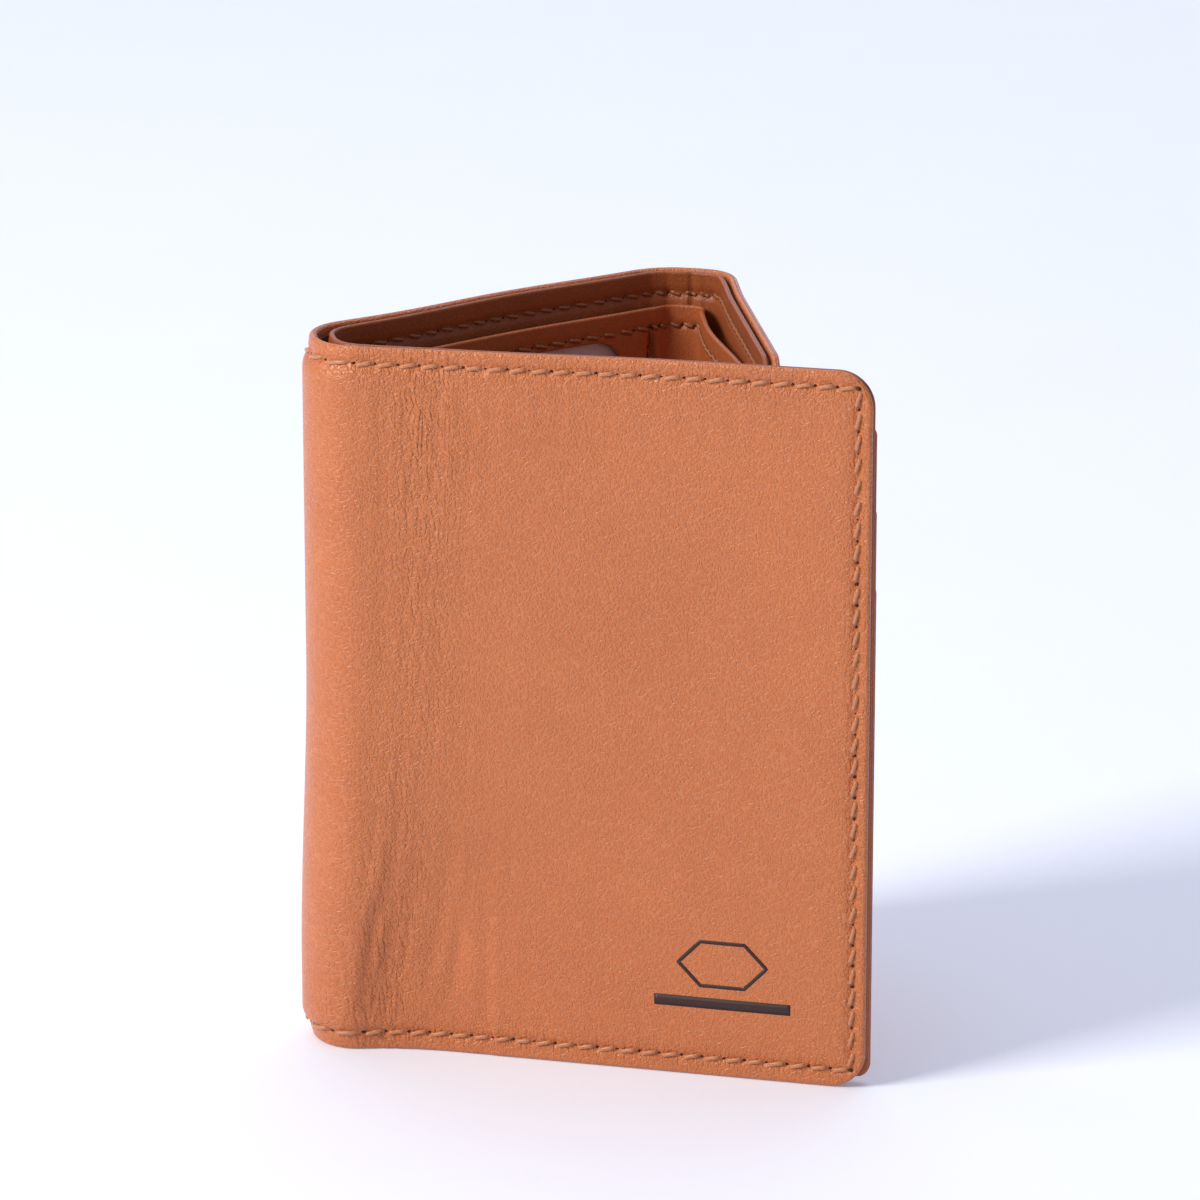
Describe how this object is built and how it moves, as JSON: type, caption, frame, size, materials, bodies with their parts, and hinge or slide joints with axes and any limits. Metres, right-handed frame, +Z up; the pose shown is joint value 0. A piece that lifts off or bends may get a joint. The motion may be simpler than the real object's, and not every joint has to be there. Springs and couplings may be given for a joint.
{
  "type": "trifold wallet",
  "caption": "Upright trifold leather wallet with a bill compartment, card slots, a slip pocket and a clear window pocket with a blank card.",
  "frame": {"origin": "under the middle of the wallet's box, on the surface that it stands on", "axes": "+Z up along the folds, -Y out of the cover's outer face, +X from the spine to the cover's free edge"},
  "size_m": [0.0843, 0.0628, 0.11],
  "materials": {
    "outer_leather": "semi-aniline tan cowhide, fine pebble grain, satin",
    "wall_leather": "thin split of the same hide, satin",
    "pocket_leather": "skived leather with turned edges, satin",
    "taffeta_lining": "plain woven lining taffeta",
    "waxed_thread": "twisted waxed polyester sewing thread",
    "clear_vinyl": "clear flexible vinyl sheet",
    "card_stock": "blank matt card"
  },
  "bodies": {
    "middle_panel": {"middle_shell": "outer_leather", "middle_bill_lining": "taffeta_lining", "middle_inner_wall": "wall_leather", "window_pocket": "pocket_leather", "window_pane": "clear_vinyl", "middle_thread": "waxed_thread", "window_thread": "waxed_thread"},
    "spine_strip": {"spine_shell": "outer_leather", "spine_bill_lining": "taffeta_lining", "spine_inner_wall": "wall_leather", "spine_thread": "waxed_thread"},
    "cover": {"cover_shell": "outer_leather", "cover_bill_lining": "taffeta_lining", "cover_inner_wall": "wall_leather", "cover_slot_top": "pocket_leather", "cover_slot_middle": "pocket_leather", "cover_slot_bottom": "pocket_leather", "cover_thread": "waxed_thread", "cover_slot_thread": "waxed_thread"},
    "fold_strip": {"fold_shell": "outer_leather", "fold_bill_lining": "taffeta_lining", "fold_inner_wall": "wall_leather", "fold_pocket": "pocket_leather", "fold_thread": "waxed_thread"},
    "flap": {"flap_shell": "outer_leather", "flap_bill_lining": "taffeta_lining", "flap_inner_wall": "wall_leather", "flap_pocket": "pocket_leather", "flap_thread": "waxed_thread", "flap_pocket_thread": "waxed_thread"},
    "card": {"filler_card": "card_stock"}
  },
  "joints": [
    {"name": "spine_bend", "type": "hinge", "parent": "middle_panel", "child": "spine_strip", "pos_m": [-0.04221, -0.02444, 0.055], "axis": [0, 0, -1], "range_deg": [0, 61.5]},
    {"name": "cover_bend", "type": "hinge", "parent": "spine_strip", "child": "cover", "pos_m": [-0.03859, -0.03112, 0.055], "axis": [0, 0, -1], "range_deg": [0, 61.5]},
    {"name": "middle_bend", "type": "hinge", "parent": "middle_panel", "child": "fold_strip", "pos_m": [-0.00627, 0.03091, 0.055], "axis": [0, 0, 1], "range_deg": [0, 56]},
    {"name": "flap_bend", "type": "hinge", "parent": "fold_strip", "child": "flap", "pos_m": [0.00573, 0.03112, 0.055], "axis": [0, 0, 1], "range_deg": [-54, 70]},
    {"name": "card_slide", "type": "slide", "parent": "middle_panel", "child": "card", "axis": [0, 0, 1], "range_m": [0, 0.101]}
  ],
  "couplings": [
    {"joint": "cover_bend", "follows": "spine_bend", "ratio": 1}
  ]
}
